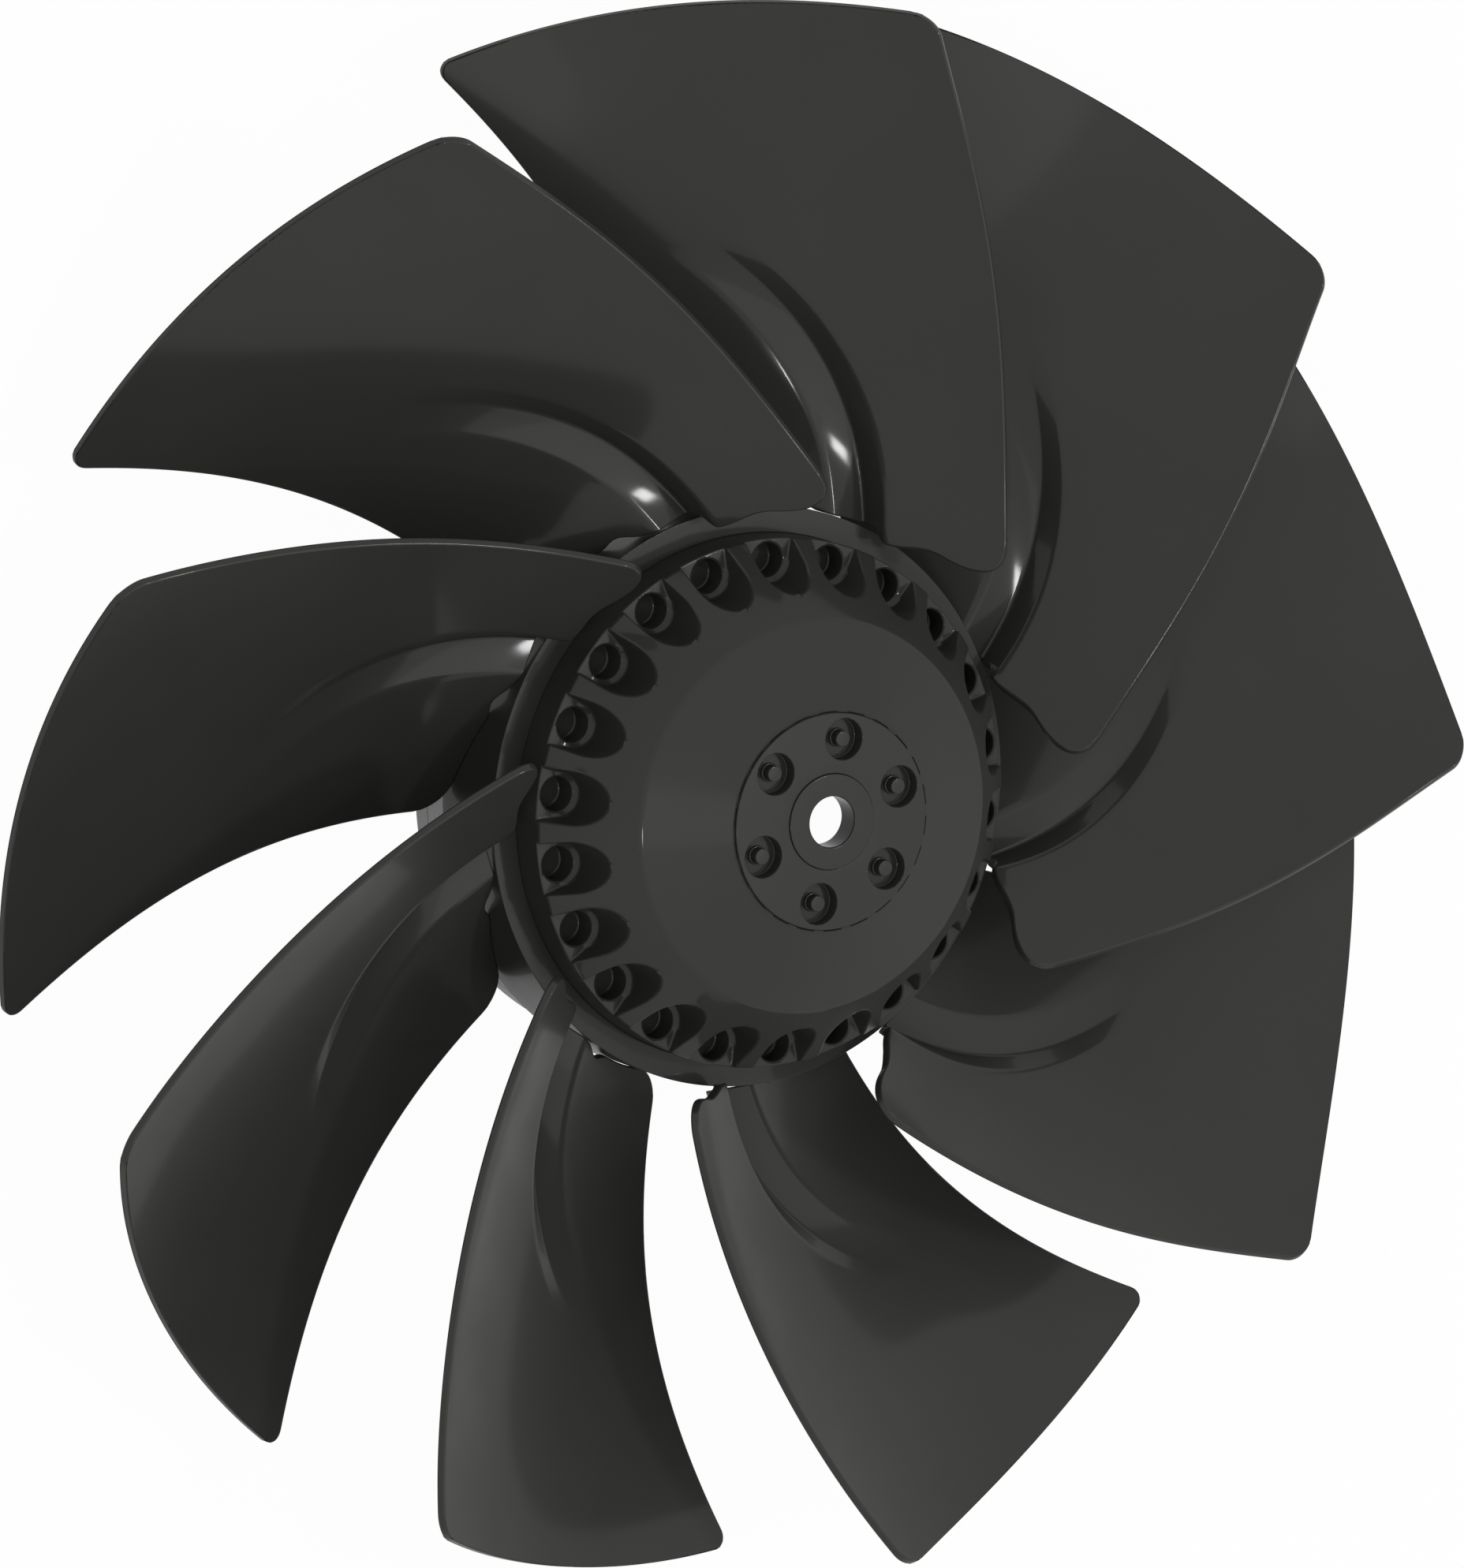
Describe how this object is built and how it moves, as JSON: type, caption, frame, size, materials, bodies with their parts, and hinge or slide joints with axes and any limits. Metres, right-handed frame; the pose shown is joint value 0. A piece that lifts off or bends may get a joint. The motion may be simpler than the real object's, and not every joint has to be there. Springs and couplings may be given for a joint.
{
  "type": "fan impeller",
  "caption": "Axial fan impeller: swept sickle blades of pressed sheet on a ring round the bell-shaped rotor of an external-rotor motor.",
  "frame": {"origin": "on the shaft axis, at the collar's rear face, which the part rests on", "axes": "+Z along the shaft axis towards the front of the hub, +X across the blades"},
  "size_m": [0.5004, 0.5006, 0.1094],
  "materials": {
    "black_casting": "satin black dip coat on a casting",
    "black_sheet": "satin black dip coat on pressed sheet",
    "bush_steel": "satin black face, bright machined bore",
    "rivet_steel": "satin black, rounded rims",
    "collar_metal": "plain light grey"
  },
  "bodies": {
    "root": {"rotor": "black_casting", "drive_flange": "black_casting", "shaft_bush": "bush_steel", "flange_rivets": "rivet_steel", "blade_ring": "black_sheet", "rear_collar": "collar_metal", "blade_1": "black_sheet", "blade_2": "black_sheet", "blade_3": "black_sheet", "blade_4": "black_sheet", "blade_5": "black_sheet", "blade_6": "black_sheet", "blade_7": "black_sheet", "blade_8": "black_sheet", "blade_9": "black_sheet"}
  },
  "joints": []
}
